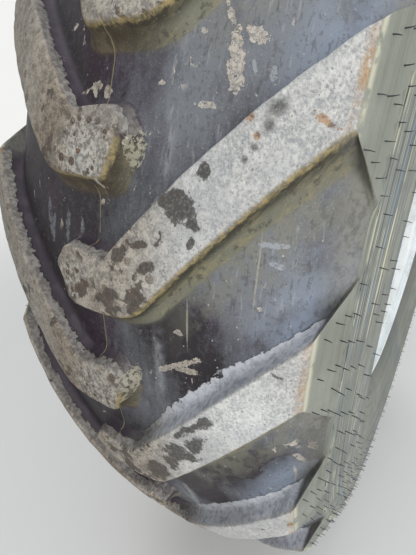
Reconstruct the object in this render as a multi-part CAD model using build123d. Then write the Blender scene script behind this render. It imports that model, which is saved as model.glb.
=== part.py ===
from build123d import *
from math import cos, hypot, radians, sin, sqrt, tan
import os

# A telehandler's road wheel: a lug tyre on a welded drop centre rim, with its valve.
# Millimetres and degrees. The origin is the centre of the pilot bore, on the face of the
# disc that bolts to the hub. +Y points to the hub, -Y outboard, +Z up and -X forward.

flat_count = 48                # the tyre and the rim are drawn with this many flats round
air_flat_count = 32            # and the air space with fewer

# Rim
rim_width = 304.8              # between the flanges
bead_radius = 304.8            # bead seats, at the flanges
seat_angle = 5.0
seat_width = 41.0
flange_height = 25.4
flange_lip = 16.0              # how far the lip curls out past the flange
flange_bend = 7.0
rim_thickness = 6.0
well_depth = 42.0
well_slope_run = 24.0
rim_offset = 45.0              # the rim's centre plane lies this far inboard of the hub's face

# Disc
disc_thickness = 14.0
pilot_radius = 140.5
stud_circle = 335.0
stud_count = 10
stud_hole_radius = 12.0
mounting_face_radius = 196.0
dish_bend = 12.0
skirt_run = 34.0               # how far inboard the cone of the dish meets its skirt
skirt_length = 36.0
weld_gap = 0.3

# Tyre section
outer_radius = 630.0
crown_arc = 394.6
crown_step = 40.0              # corners of the crown, out from the centre plane
crown_knee = 112.0
tread_half = 174.1
lug_depth = 20.0
floor_step = 50.0
shoulder_inset = 26.0
ridge_drop = 49.5              # the ridge under the lugs' ends, below and outside their edge
ridge_flare = 15.1
section_drop = 70.0            # the widest part of the sidewall, below and outside the ridge
section_flare = 15.8
sidewall_bow = 7.0
lip_cover = 2.5                # rubber past the lip's edge
undertread = 24.0
sidewall = 15.0
bead_wall = 30.0
bead_clearance = 0.3

# Lugs
lugs_per_side = 19
first_lug_angle = 18.07        # lower shoulder corner of one lug, above the forward direction
forward_angle = -90.0          # of the forward direction, from up
lug_draft = 4.0                # how far a wall's foot stands out from its top
buttress_flare = 4.0           # degrees on each side, from the tread's edge down to the ridge
lug_root = 110.0               # depth to which a lug is drawn before the air space is cut
lug_spare = 3.0

# Corners of a lug's top, anticlockwise from its upper end on the tread's edge.
# Columns: distance from the centre plane in mm, angle round the axle in degrees.
lug_corners = (
    (tread_half, 5.98),
    (21.4, -9.88),
    (-19.8, -9.41),
    (-31.4, -11.09),
    (-18.2, -14.21),
    (45.3, -14.09),
    (tread_half, 0.0),
)

# Valve, in the outboard slope of the well
valve_angle = -52.5            # from the rear, up
valve_base_radius = 12.0
valve_base_height = 5.0
valve_barrel_radius = 7.7
valve_barrel_length = 30.0
valve_fit = 0.2
valve_nut_radius = 12.0        # to the corners of its hexagon
valve_nut_height = 6.0
valve_cap_radius = 6.0
valve_cap_length = 12.0


def at_rim(points):
    """Radius and distance outboard of the rim's centre plane, as points of a profile."""
    return [(radius, rim_offset - outboard) for radius, outboard in points]


def both_sides(half):
    """A profile's outboard half, followed by its mirror image back to the start."""
    return half + [(radius, -outboard) for radius, outboard in reversed(half)]


def ring(points, count=flat_count):
    """Carry a profile round the wheel's axis in even flats, with mitred corners."""
    turns = [radians((index + 0.5) * 360 / count) for index in range(count)]
    corners = [Vector(cos(turn), 0, sin(turn)) * outer_radius for turn in turns]
    start = (corners[0] + corners[-1]) / 2
    path = Polyline(start, *corners, start)
    profile = make_face(Polyline(*at_rim(points), close=True))
    return sweep(profile, path=path, transition=Transition.RIGHT)


def unit_normal(start, end):
    """The unit vector to the left of the way from one point to the next."""
    run, rise = end[0] - start[0], end[1] - start[1]
    return (-rise / hypot(run, rise), run / hypot(run, rise))


def beside(points, distance):
    """Points that run beside a line, a distance to its left, with mitred corners."""
    normals = [unit_normal(start, end) for start, end in zip(points, points[1:])]
    moved = []
    for here, first, second in zip(points, normals[:1] + normals, normals + normals[-1:]):
        share = distance / (1 + first[0] * second[0] + first[1] * second[1])
        moved.append(
            (here[0] + share * (first[0] + second[0]), here[1] + share * (first[1] + second[1]))
        )
    return moved


def sheet(points, thickness):
    """The outline of a sheet of even thickness, bent along the points of its middle line."""
    return beside(points, thickness / 2) + beside(points, -thickness / 2)[::-1]


# Rim

rim_half = rim_width / 2
half_sheet = rim_thickness / 2
seat_drop = seat_width * tan(radians(seat_angle))
flange_radius = bead_radius + flange_height
flange_plane = rim_half + half_sheet
well_radius = bead_radius - seat_drop - well_depth
seat_end = rim_half - seat_width
well_half = seat_end - well_slope_run

half_rim = [
    (flange_radius - half_sheet, rim_half + flange_lip),
    (flange_radius - half_sheet, flange_plane + flange_bend),
    (flange_radius - half_sheet - flange_bend, flange_plane),
    (bead_radius - half_sheet, flange_plane),
    (bead_radius - half_sheet - seat_drop, seat_end),
    (well_radius - half_sheet, well_half),
]
rim = ring(sheet(both_sides(half_rim), rim_thickness))

# Disc, a pressed dish whose skirt is welded inside the well

half_plate = disc_thickness / 2
skirt_line = well_radius - rim_thickness - weld_gap - half_plate
disc_line = [
    (pilot_radius, -half_plate),
    (mounting_face_radius, -half_plate),
    (mounting_face_radius + dish_bend, dish_bend / 2 - half_plate),
    (skirt_line, skirt_run),
    (skirt_line, skirt_run + skirt_length),
]
disc = revolve(make_face(Polyline(*sheet(disc_line, disc_thickness), close=True)), Axis.Y)
stud_hole = Pos(0, 0, stud_circle / 2) * Rot(90, 0, 0) * Cylinder(
    stud_hole_radius, disc_thickness * 3
)
for index in range(stud_count):
    disc -= Rot(0, index * 360 / stud_count, 0) * stud_hole

# Carcass of the tyre, its beads seated on the rim


def crown_radius(outboard, depth=0.0):
    """Radius of the lugs' tops, or of the groove floor a depth under them."""
    return outer_radius - crown_arc + sqrt((crown_arc - depth) ** 2 - outboard ** 2)


toe = rim_half - bead_wall
heel_radius = bead_radius + bead_clearance
heel_half = rim_half - bead_clearance
over_lip = flange_radius + bead_clearance
lip_end = rim_half + flange_lip + lip_cover
ridge_radius = crown_radius(tread_half) - ridge_drop
ridge_half = tread_half + ridge_flare
section_radius = ridge_radius - section_drop
section_half = ridge_half + section_flare
floor_half = tread_half - shoulder_inset
floor_edge = crown_radius(floor_half, lug_depth)
floor_middle = crown_radius(floor_step, lug_depth)

carcass_half = [
    (heel_radius - (heel_half - toe) * tan(radians(seat_angle)), toe),
    (heel_radius, heel_half),
    (over_lip, heel_half),
    (over_lip, lip_end),
    ((over_lip + section_radius) / 2, (lip_end + section_half) / 2 + sidewall_bow),
    (section_radius, section_half),
    (ridge_radius, ridge_half),
    (floor_edge, floor_half),
    (floor_middle, floor_step),
]
carcass = ring(both_sides(carcass_half))

# Lugs, drawn once pointing up and then turned round the axle

lug_angles = [angle for _, angle in lug_corners]
lug_middle = (max(lug_angles) + min(lug_angles)) / 2


def wrapped(outboard, angle, radius):
    """A point at an angle round the axle, in the frame of a lug that points up."""
    turn = radians(angle - lug_middle)
    return Vector(radius * sin(turn), rim_offset - outboard, radius * cos(turn))


def wall_foot(start, end):
    """A point at the foot of the wall between two corners, drafted out from its top."""
    middle = (start + end) / 2
    up = Vector(middle.X, 0, middle.Z).normalized()
    return middle + (end - start).cross(up).normalized() * lug_draft - up * lug_depth


def plane_normals(tops, feet):
    """Normals of the planes through each pair of neighbouring corners and a foot."""
    pairs = zip(tops, tops[1:] + tops[:1], feet)
    return [(end - start).cross(foot - start) for start, end, foot in pairs]


def level(tops, normals, height):
    """The corners where the planes of neighbouring walls meet at a height."""
    edges = [
        before.cross(after).normalized() for before, after in zip(normals[-1:] + normals, normals)
    ]
    return [top + edge * ((height - top.Z) / edge.Z) for top, edge in zip(tops, edges)]


def lug_block():
    """A lug with plane walls, drawn past the crown, the air space and the tread's edge."""
    past_edge = tread_half + shoulder_inset + ridge_flare
    (edge, upper), (_, lower) = lug_corners[0], lug_corners[-1]
    corners = [(past_edge, upper), *lug_corners, (past_edge, lower)]
    tops = [wrapped(out, angle, crown_radius(min(out, edge))) for out, angle in corners]
    feet = [wall_foot(start, end) for start, end in zip(tops, tops[1:] + tops[:1])]
    normals = plane_normals(tops, feet)
    shoulder = level(tops, normals, min(tops[0].Z, tops[-1].Z))
    feet[0] = wrapped(edge, upper + buttress_flare, ridge_radius)
    feet[-2] = wrapped(edge, lower - buttress_flare, ridge_radius)
    flared = plane_normals(shoulder, feet)
    flared[1:-2] = normals[1:-2]
    flared[-1] = normals[-1]
    crown = level(tops, normals, outer_radius + lug_spare)
    root = level(shoulder, flared, outer_radius - lug_root)
    faces = [Face(Wire.make_polygon(points)) for points in (root, crown)]
    for low, high in ((root, shoulder), (shoulder, crown)):
        around = zip(low, low[1:] + low[:1], high[1:] + high[:1], high)
        faces += [Face(Wire.make_polygon(corners)) for corners in around]
    return Solid(Shell(faces))


crown_band = [
    (crown_radius(crown_step), -crown_step),
    (crown_radius(crown_step), crown_step),
    (crown_radius(crown_knee), crown_knee),
    (crown_radius(tread_half), tread_half),
    (ridge_radius, ridge_half),
    (ridge_radius - shoulder_inset, floor_half),
    (outer_radius - 2 * lug_root, -crown_step),
]
lug = lug_block() & ring(crown_band)
mirror_plane = Plane((0, rim_offset, 0), z_dir=(0, 1, 0))
pitch = 360 / lugs_per_side
lugs = []
for body, row_angle in ((lug, 0.0), (mirror(lug, about=mirror_plane), pitch / 2)):
    for index in range(lugs_per_side):
        turn = forward_angle + first_lug_angle + lug_middle + row_angle + index * pitch
        lugs.append(Rot(0, turn, 0) * body)

# The air space, open between the beads

air_half = [
    (bead_radius - bead_wall, toe),
    (over_lip + sidewall, toe),
    (section_radius, section_half - sidewall),
    (floor_edge - undertread, floor_half - sidewall),
    (floor_middle - undertread, floor_step),
]
tyre = carcass.fuse(*lugs) - ring(both_sides(air_half), air_flat_count)

# Valve, drawn pointing up from the middle of the sheet and then set square to the slope

slope_top = (bead_radius - half_sheet - seat_drop, seat_end)
slope_foot = (well_radius - half_sheet, well_half)
seat_radius = (slope_top[0] + slope_foot[0]) / 2
seat_side = rim_offset - (slope_top[1] + slope_foot[1]) / 2
valve_way = (slope_foot[1] - slope_top[1], slope_foot[0] - slope_top[0], 0)
valve_place = Rot(0, valve_angle, 0) * Plane((seat_radius, seat_side, 0), z_dir=valve_way).location


def upright(radius, bottom, top):
    """A round bar on the valve's axis, between two heights over the middle of the sheet."""
    bar = Cylinder(radius, top - bottom, align=(Align.CENTER, Align.CENTER, Align.MIN))
    return Pos(0, 0, bottom) * bar


barrel_top = half_sheet + valve_barrel_length
valve_stem = upright(valve_base_radius, -half_sheet - valve_base_height, -half_sheet)
valve_stem += upright(valve_barrel_radius, -half_sheet, barrel_top)
valve_nut = Pos(0, 0, half_sheet) * extrude(RegularPolygon(valve_nut_radius, 6), valve_nut_height)
valve_nut -= upright(valve_barrel_radius + valve_fit, 0, barrel_top)
valve_cap = upright(valve_cap_radius, barrel_top, barrel_top + valve_cap_length)
rim -= valve_place * upright(valve_barrel_radius + valve_fit, -rim_thickness, rim_thickness)

os.makedirs("parts", exist_ok=True)
pieces = {
    "tyre": tyre,
    "rim": rim,
    "wheel_disc": disc,
    "valve_stem": valve_place * valve_stem,
    "valve_nut": valve_place * valve_nut,
    "valve_cap": valve_place * valve_cap,
}
for name, piece in pieces.items():
    export_step(piece, f"parts/{name}.step")
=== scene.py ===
from math import atan2, ceil, cos, hypot, pi, radians, sin, sqrt, tan
from random import Random

import bmesh
import bpy
import numpy as np
from mathutils import Matrix, Vector, noise
from mathutils.geometry import delaunay_2d_cdt


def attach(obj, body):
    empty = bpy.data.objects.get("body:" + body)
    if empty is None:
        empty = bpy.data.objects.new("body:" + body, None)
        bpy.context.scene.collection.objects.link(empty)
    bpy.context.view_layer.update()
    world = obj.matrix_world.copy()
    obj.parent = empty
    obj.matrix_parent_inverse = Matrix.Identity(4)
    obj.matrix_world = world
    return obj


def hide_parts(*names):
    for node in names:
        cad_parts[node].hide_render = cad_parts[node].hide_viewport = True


# A telehandler's road wheel: a worn lug tyre on a white welded rim.
# Metres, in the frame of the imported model. The axle is Y, outboard is -Y, and the lugs at
# the front point to -X. Across the tyre, places are distances from the rim's centre plane,
# and round it they are angles above the forward direction.

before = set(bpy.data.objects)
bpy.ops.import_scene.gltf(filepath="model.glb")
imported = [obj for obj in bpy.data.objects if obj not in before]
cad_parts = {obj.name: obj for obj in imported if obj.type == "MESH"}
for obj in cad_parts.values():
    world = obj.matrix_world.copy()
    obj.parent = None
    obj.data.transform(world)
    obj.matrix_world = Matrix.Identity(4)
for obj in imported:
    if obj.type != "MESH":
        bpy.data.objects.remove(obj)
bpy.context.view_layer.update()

bl_info = {
    "name": "Telehandler wheel",
    "version": (1, 0, 0),
    "blender": (4, 5, 0),
    "location": "View3D > Sidebar > Wheel",
    "description": "Builds a worn lug tyre, its rim, disc and valve round the packed model",
    "category": "Object",
}

RIM_OFFSET = 0.045             # the rim's centre plane, inboard of the hub's face
TYRE_RADIUS = 0.63
TREAD_HALF = 0.1741
CROWN_ARC = 0.3946
FLOOR_HALF = 0.1481
RIDGE = (0.1892, 0.5401)       # from the centre plane, from the axle
CROWN_DROP = CROWN_ARC - sqrt(CROWN_ARC ** 2 - TREAD_HALF ** 2)
END_DROP = TYRE_RADIUS - CROWN_DROP - RIDGE[1]
END_FLARE = RIDGE[0] - TREAD_HALF
BEAD_TOP = 0.345               # the sidewall's ribs begin over this radius
FLANGE_TOP = 0.3318            # the rim's flange hides the tyre under this radius
SIDES = ((1, "outboard"), (-1, "inboard"))
SHOULDER_BEND, FLOOR_BEND = 0.0055, 0.014      # widths of the bends between crown and shoulder
FLARE = 4.0                    # degrees that a lug's end widens on its way down to the ridge
END_REACH = 1.4                # how far a lug's outline runs on, in widths of the shoulder

# Spacing of the tread's points: on the lugs' tops, on the groove floors, along a groove.
TOP_GRID, FLOOR_GRID, GROOVE_STEP = 0.0068, 0.0088, 0.0095
WOBBLE = 0.12                  # how far the points of a grid stray, in its steps
WIDEST_TURN = 0.35             # radians between two points of a rounded corner
SHORTEST_GAP = 0.12            # gaps under this share of a step are closed
# Room kept clear beside a fold by a ring and by a lug's top, between the points of a ring,
# before the ridge by a ring, inside a lug's edge, inside the border and past a wall's foot.
FOLD_ROOM, TOP_ROOM, RING_ROOM, RIDGE_ROOM = 0.0009, 0.0028, 0.0012, 0.002
EDGE_ROOM, BORDER_ROOM, FOOT_ROOM = 0.003, 0.005, 0.004
RING_NEARNESS = 0.96           # share of its own distance that a ring has to keep
WEAR, EDGE_WEAR = 0.0007, 0.0008               # rubber lost from the tops and at the edges
WORN_BAND = 0.009              # how far in from an edge the rubber is worn more
WELD_DISTANCE = 1e-5           # points nearer than this are one
RUBBER_SHARP, HAIR_SHARP, STEEL_SHARP, HOLE_SHARP = 62.0, 50.0, 40.0, 30.0      # in degrees

RIB_STEPS = (1.8, 0.8, 0.0, -0.8, -1.8)        # points across a rib, in its widths
RIB_ROOM = 2e-4
# Along a vent hair in its lengths, and its radius there as a share of the root's.
HAIR_ALONG, HAIR_WIDTH = (-0.12, 0.5, 1.0), (1.0, 0.85, 0.45)
HAIR_LENGTHS, HAIR_LEAN_ROUND, HAIR_LEAN_UP = (0.72, 1.08), (-0.16, 0.16), (-0.14, 0.14)
HAIR_SPACINGS, HAIR_STRAY, HAIR_STRAY_UP = (0.92, 1.08), (-0.3, 0.3), (-0.0012, 0.0012)
LIP_CUT = 0.45                 # cut off the corners of the rim's lips, in sheet thicknesses
DISC_CUT = 0.0015              # cut off the corners of the disc's edges
HOLE_SIDES, HOLE_PAST = 48, 0.003
RIPPLE_COLUMNS = 4
WELD_SWELL, WELD_LUMPS = 0.06, 14.0            # share that a weld swells, lumps' closeness
AIR_SIDE_BLACK = (0.04, 0.04, 0.042)
FLOOR_REACH = 9.0
BACKDROP_FADE = (1.0, 3.2)     # the floor turns into the backdrop over these distances
SENSOR_WIDTH = 36.0            # in millimetres

# Corners of a lug's top, anticlockwise from its upper end on the tread's edge.
# Columns: distance from the centre plane in metres, angle in degrees, rounding in metres.
LUG_CORNERS = (
    (TREAD_HALF, 5.98, 0.003), (0.0214, -9.88, 0.016), (-0.0198, -9.41, 0.01),
    (-0.0314, -11.09, 0.01), (-0.0182, -14.21, 0.01), (0.0453, -14.09, 0.04),
    (TREAD_HALF, 0.0, 0.003),
)

# Rings drawn round a lug's outline, from its top down to the groove floor.
# Columns: share of the edge's rounding inside the outline, shares of the draft and of the
# foot's hollow outside it, share of the lug's depth on a trailing and on a leading edge.
LUG_RINGS = (
    (1.0, 0.0, 0.0, 0.0, 0.0), (0.62, 0.0, 0.0, 0.0, 0.0), (0.3, 0.0, 0.0, 0.0, 0.0),
    (0.08, 0.0, 0.0, 0.0, 0.0), (0.0, 0.5, 0.0, 0.42, 0.36), (0.0, 0.92, 0.04, 0.8, 0.62),
    (0.0, 1.0, 0.3, 0.925, 0.83), (0.0, 1.0, 0.62, 0.98, 0.955), (0.0, 1.0, 1.0, 1.0, 1.0),
)

# Folds across the flat drawing that keep the shoulder's edge crisp, past the tread's edge.
SHOULDER_FOLDS = (-0.003, -0.001, 0.001, 0.0045)

# A line through the grooves, from one side of the tread to the other, under one lug.
# Columns: distance from the centre plane in metres, angle in degrees.
GROOVE_LINE = (
    (-RIDGE[0], 2.974), (-TREAD_HALF, 2.974), (-0.06, -9.3), (-0.04, -14.0), (-0.026, -16.6),
    (0.0, -16.8), (0.04, -17.2), (0.06, -18.4), (TREAD_HALF, -6.5), (RIDGE[0], -6.5),
)

# The outboard half of the tyre's section under the tread, from the ridge to the bead's toe.
# Columns: distance from the centre plane, radius, in metres.
SIDEWALL = (
    (0.1892, 0.5401), (0.1894, 0.5378), (0.1919, 0.529), (0.1955, 0.516), (0.1977, 0.504),
    (0.199, 0.492), (0.1994, 0.48), (0.1992, 0.468), (0.1986, 0.456), (0.1978, 0.444),
    (0.1967, 0.432), (0.1954, 0.42), (0.1938, 0.408), (0.1917, 0.396), (0.1891, 0.384),
    (0.1855, 0.372), (0.1813, 0.36), (0.1764, 0.348), (0.1728, 0.34), (0.1712, 0.335),
    (0.1698, 0.3318), (0.167, 0.3306), (0.1545, 0.3305), (0.1521, 0.3285), (0.1521, 0.309),
    (0.15, 0.3052), (0.14, 0.304), (0.1228, 0.3025),
)

# The air side of that section, from the bead's toe up to where the sidewall meets the tread,
# and the air side of half the tread from there to the centre plane. Columns as before.
AIR_SIDE = (
    (0.122, 0.306), (0.1224, 0.315), (0.13, 0.34), (0.156, 0.38), (0.18, 0.425), (0.189, 0.47),
    (0.186, 0.51), (0.162, 0.542),
)
AIR_CROWN = ((0.162, 0.542), (0.125, 0.557), (0.07, 0.579), (0.0, 0.586))

# Ribs that the mould leaves round the sidewall. Columns: radius, height, width, in metres.
SIDE_RIBS = (
    (0.512, 0.0011, 0.0012), (0.456, 0.001, 0.0012), (0.428, 0.0014, 0.0012),
    (0.416, -0.0016, 0.0016), (0.404, 0.0014, 0.0012), (0.356, 0.003, 0.003),
)

# Rows of vent hairs on the lugs' ends. Columns: radius in metres, degrees from the lug's
# lower corner to the first hair, degrees between hairs.
END_HAIRS = (
    (0.575, -0.9, 3.35), (0.564, -1.8, 3.7), (0.554, -2.6, 2.25), (0.5425, -3.4, 2.5),
)

# Rows of vent hairs all round the sidewall. Columns: radius in metres, hairs in one pitch,
# degrees from the lug's lower corner to the first.
SIDE_HAIRS = (
    (0.53, 7, -4.07), (0.517, 6, -2.4), (0.506, 6, -0.9), (0.495, 6, -2.1),
    (0.48, 4, -0.3), (0.464, 3, -1.9), (0.442, 3, -0.4),
)
# The share of these that hasn't broken off.
HAIRS_LEFT = 0.72

# Half of the rim's middle line, from the lip of its flange into the well.
# Columns: distance from the centre plane, radius, rounding, in metres.
RIM_LINE = (
    (0.1684, 0.3272, 0.0), (0.1554, 0.3272, 0.0085), (0.1554, 0.3018, 0.009),
    (0.1114, 0.2982, 0.012), (0.0874, 0.2562, 0.016),
)

# The disc's middle line, from the pilot bore to the end of its skirt. Columns as before.
DISC_LINE = (
    (0.052, 0.1405, 0.0), (0.052, 0.201, 0.02), (0.011, 0.2459, 0.022),
    (-0.025, 0.2459, 0.0),
)

# Sections of the two welds between the disc and the rim's well.
# Columns: distance from the centre plane, radius, in metres.
WELDS = {
    "outboard": (
        (0.0225, 0.255), (0.0252, 0.253), (0.0257, 0.2504), (0.0245, 0.2472),
        (0.022, 0.2446), (0.019, 0.2436), (0.014, 0.253),
    ),
    "inboard": (
        (-0.024, 0.255), (-0.0345, 0.2548), (-0.0338, 0.2522), (-0.0318, 0.2497),
        (-0.029, 0.2476), (-0.0255, 0.2462), (-0.0235, 0.2475),
    ),
}

# Marks of the groove floors and the lugs' tops near the front, as ovals.
# Columns: millimetres from the centre plane, angle in degrees, half length and half width
# in millimetres, degrees from the direction round the tyre to the length.
DARK_PATCHES = (
    (83.9, 12.44, 15, 11.5, 86), (93, 11.7, 8, 6, 40), (92.8, 10.58, 6.8, 3.4, -6),
    (96.5, 14.9, 4.9, 3.1, 8), (61, 8.42, 9.9, 5.7, -73), (37, 8.85, 7.7, 6.3, -52),
    (53.9, 9.81, 7.4, 4.2, -76), (25.8, 5.53, 13.2, 8.5, -60), (-2.5, 5.43, 11.3, 6.5, -79),
    (50.1, 5.14, 7.6, 4.7, -64), (98.3, -5.79, 17, 9, -19), (98.4, -3.84, 24, 6.6, -43),
    (83.5, -7.53, 17.5, 11.5, -86), (51.7, -11.64, 26, 16, -28), (70, -9.6, 11, 9, 10),
)
FAINT_PATCHES = (
    (129.9, 17.73, 8, 5.8, 14), (133.4, 18.71, 9.5, 7, -60), (123.9, 16.49, 3.3, 3, 27),
    (119.4, 15.78, 4, 3.2, 12),
)
CREAM_SPLASHES = (
    (93.9, 21.48, 24.2, 6.3, 12), (103.2, 23.17, 9.1, 5.2, 55), (84.1, 24.3, 9.5, 2.4, 32),
    (68.7, 23.19, 3.4, 2.6, 31), (80.9, 18.85, 7.4, 3.2, -86), (45, 19.94, 4, 2.7, 86),
    (-13.9, 19.73, 6.7, 3.6, 84), (-2.4, 19.4, 5.1, 4.2, -29), (74.5, 3.12, 4.7, 3.1, 72),
    (72.1, 0.06, 28, 3.2, -58), (80.8, -0.18, 15.3, 3.3, -84), (177.6, -8.34, 9, 3, 20),
    (169, -9.8, 12, 2.6, 25), (165.7, -12.1, 12, 1.3, 4),
)
BLUE_SPLASHES = (
    (106.3, 21.24, 6.4, 1.5, 21), (-70, 9.6, 22, 4, 5), (-64, 8.9, 18, 2.8, -8),
    (-41.5, 9.2, 18, 3.4, -6), (-20.4, 8.9, 20, 3.4, 5), (118.2, 21.03, 5.6, 2.9, 4),
    (135.5, 10.79, 10.5, 2.6, -84), (139.2, 9.48, 6.3, 3.3, 73), (164, -15.2, 11, 4.2, 1),
    (161.5, -18.3, 6, 2.2, 0), (162.5, -20.6, 5, 1.6, 0), (165.5, -12.4, 20, 1.2, 3),
)
MOULD_LINES = (
    (81.8, 3.98, 27.3, 1, 1), (128.8, 8.7, 40, 0.8, 0), (123, 27.2, 42, 0.7, 3),
)
DUSTY_PLACES = (
    (118, 27, 80, 40, 0), (130, 8, 55, 35, 0), (70, 20.5, 60, 30, 0),
)
# Places where the groove floors are darker: cleaner rubber, and in the two inboard ovals painted
# shade.
CLEAN_AND_SHADED_PLACES = (
    (80, 1.2, 90, 48, 24), (85, -18.2, 90, 42, 20), (-65, 20, 90, 50, 0), (-50, 3, 90, 50, 0),
    (115, -11.5, 70, 60, 0),
)
PALE_PLACES = (
    (35, 27.5, 60, 70, 0), (-60, 25, 100, 50, 0), (-10, 14.5, 35, 40, 0), (135, -2, 50, 45, 0),
)
PITTED_PLACES = (
    (-1, 15.2, 29, 40, 0), (-15, 6.2, 24, 30, 0), (-1, -3.75, 29, 40, 0),
)
RUST_MARKS = (
    (158.9, 18.34, 8.5, 2.4, 62), (118.4, 18.12, 4.5, 2.8, 20), (124, 17.1, 2.6, 2, 0),
)
CLEAN_EDGE = (
    (113, 17.6, 105, 30, -40),
)
WALL_CRUST = (
    (34.3, 15.54, 17.6, 6, -6), (28.8, -2.68, 23.2, 8.7, -23),
)

# Noises of the tread. Columns: size in metres, detail, roughness.
GRAINS = {
    "large": (0.055, 4.0, 0.6),
    "middling": (0.017, 4.0, 0.6),
    "fine": (0.0045, 4.0, 0.65),
    "grit": (0.0013, 2.0, 0.6),
    "ragged": (0.0085, 5.0, 0.68),
}

# Soft lamps. Columns: name, place, aim, diameter in metres, power in watts, colour.
LAMPS = (
    ("front_lamp", (-2.5, -1.9, 1.1), (-0.5, -0.05, 0.0), 1.8, 56.0, (1.0, 0.985, 0.955)),
    ("sky_lamp", (-0.5, -0.5, 2.7), (0.0, 0.0, 0.0), 2.6, 38.0, (0.92, 0.96, 1.0)),
    ("side_lamp", (-0.9, -2.6, 0.1), (-0.2, -0.1, -0.1), 1.6, 17.0, (0.97, 0.985, 1.0)),
    ("rear_lamp", (2.4, 1.6, 1.5), (0.3, 0.0, 0.0), 2.0, 34.0, (1.0, 0.99, 0.97)),
)


def a_length(name, description, default):
    """A length in metres that a user may change."""
    return bpy.props.FloatProperty(
        name=name, description=description, default=default, unit="LENGTH"
    )


def an_angle(name, description, degrees):
    """An angle that a user may change."""
    return bpy.props.FloatProperty(
        name=name, description=description, default=radians(degrees),
        subtype="ANGLE", unit="ROTATION",
    )


def a_count(name, description, default, least):
    """A number of things that a user may change."""
    return bpy.props.IntProperty(name=name, description=description, default=default, min=least)


def a_vector(name, description, default, subtype="DIRECTION", **limits):
    """A direction, a place or a colour that a user may change."""
    return bpy.props.FloatVectorProperty(
        name=name, description=description, size=3, subtype=subtype, default=default, **limits
    )


def a_colour(name, description, default):
    """A colour that a user may change."""
    return a_vector(name, description, default, "COLOR", min=0, max=1)


class TyreSizes(bpy.types.PropertyGroup):
    """Sizes of the tread's lugs and of the sidewalls."""

    lug_count: a_count("Lugs a side", "Lugs in each of the two rows", 19, 5)
    first_lug: an_angle("First lug", "Shoulder corner above the forward direction", 18.07)
    lug_depth: a_length("Lug depth", "Height of a lug over the groove floor", 0.02)
    draft: a_length("Draft", "How far a wall's foot stands out from its top", 0.0038)
    edge_round: a_length("Edge", "Rounding of a lug's trailing edges", 0.0018)
    worn_round: a_length("Worn edge", "Rounding of a lug's leading edges", 0.0052)
    foot_round: a_length("Foot", "Width of the hollow at the foot of a trailing wall", 0.0075)
    wide_foot: a_length("Wide foot", "Width of the hollow at the foot of a leading wall", 0.0135)
    flare: an_angle("Flare", "How far a lug's end widens down to the ridge", FLARE)
    spacing: a_length("Spacing", "Distance between points along a lug's edge", 0.0042)
    columns: a_count("Columns", "Divisions of the sidewall in one pitch", 16, 4)
    hair_length: a_length("Vent hairs", "Length of the hairs left by the mould", 0.0064)
    hair_radius: a_length("Hair radius", "Radius of a vent hair at its root", 0.0005)


class RimSizes(bpy.types.PropertyGroup):
    """Sizes of the rim, its disc and their welds."""

    sheet: a_length("Rim sheet", "Thickness of the rim", 0.006)
    plate: a_length("Disc plate", "Thickness of the disc", 0.014)
    step: a_length("Step", "Distance between points of a rolled section", 0.007)
    columns: a_count("Columns", "Divisions round the rim", 200, 24)
    stud_circle: a_length("Stud circle", "Diameter of the circle of stud holes", 0.335)
    stud_count: a_count("Studs", "Stud holes in the disc", 10, 3)
    stud_hole: a_length("Stud hole", "Radius of a stud hole", 0.012)
    stud_chamfer: a_length("Hole chamfer", "Bevel of a stud hole's edges", 0.0015)
    ripples: a_count("Weld ripples", "Ripples round a weld", 300, 50)
    ripple_height: a_length("Ripple height", "Height of a weld's ripples", 0.0004)
    valve_bevel: a_length("Valve bevel", "Bevel of the valve's edges", 0.0006)


class WheelColours(bpy.types.PropertyGroup):
    """Colours of the wheel's finishes."""

    rubber: a_colour("Rubber", "Clean rubber in the grooves", (0.02, 0.016, 0.02))
    film: a_colour("Dust film", "Thin dust on the groove floors", (0.152, 0.162, 0.18))
    olive: a_colour("Side rubber", "Lugs' ends and sidewalls", (0.174, 0.183, 0.153))
    dust: a_colour("Dried dust", "Pale dust on the lugs' tops", (0.58, 0.575, 0.552))
    grey: a_colour("Grey dust", "Grey between the pale dust", (0.285, 0.293, 0.307))
    soil: a_colour("Soil", "Brown soil on the lugs' noses", (0.105, 0.075, 0.052))
    mud: a_colour("Mud", "Powdery mud on the trailing walls", (0.55, 0.565, 0.605))
    clay: a_colour("Clay", "Ochre clay on the leading edges", (0.33, 0.255, 0.115))
    cream: a_colour("Cream", "Splashes of pale mud", (0.6, 0.54, 0.46))
    paint: a_colour("Rim paint", "White enamel of rim and disc", (0.7, 0.725, 0.73))
    brass: a_colour("Brass", "Bright brass of the valve", (0.62, 0.48, 0.22))


class StageLooks(bpy.types.PropertyGroup):
    """The floor, the lamps and the camera."""

    floor_colour: a_colour("Floor", "Colour of the floor", (0.74, 0.74, 0.73))
    backdrop: a_colour("Backdrop", "Colour seen behind the wheel", (0.9, 0.9, 0.89))
    world_light: bpy.props.FloatProperty(
        name="Surroundings", description="Strength of the even light all round", default=0.36,
        min=0.0,
    )
    camera_place: a_vector(
        "Camera", "Where the camera stands", (-0.8025, -0.1886, 0.2063), "TRANSLATION"
    )
    camera_right: a_vector(
        "Camera's right", "Direction of the picture's right", (0.547, -0.837, 0.0)
    )
    camera_up: a_vector("Camera's up", "Direction of the picture's top", (0.369, 0.241, 0.897))
    lens: bpy.props.FloatProperty(
        name="Lens", description="Focal length on a 36 mm wide sensor", default=25.5,
        subtype="DISTANCE_CAMERA", unit="CAMERA",
    )


def crown_radius(out, depth=0.0):
    """Radius of the lugs' tops, or of the groove floor a depth under them."""
    return TYRE_RADIUS - CROWN_ARC + np.sqrt((CROWN_ARC - depth) ** 2 - np.square(out))


def smooth_min(first, second, width):
    """The lower of two heights, with their crossing rounded."""
    share = np.clip(0.5 + 0.5 * (second - first) / width, 0, 1)
    return second * (1 - share) + first * share - width * share * (1 - share)


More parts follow.
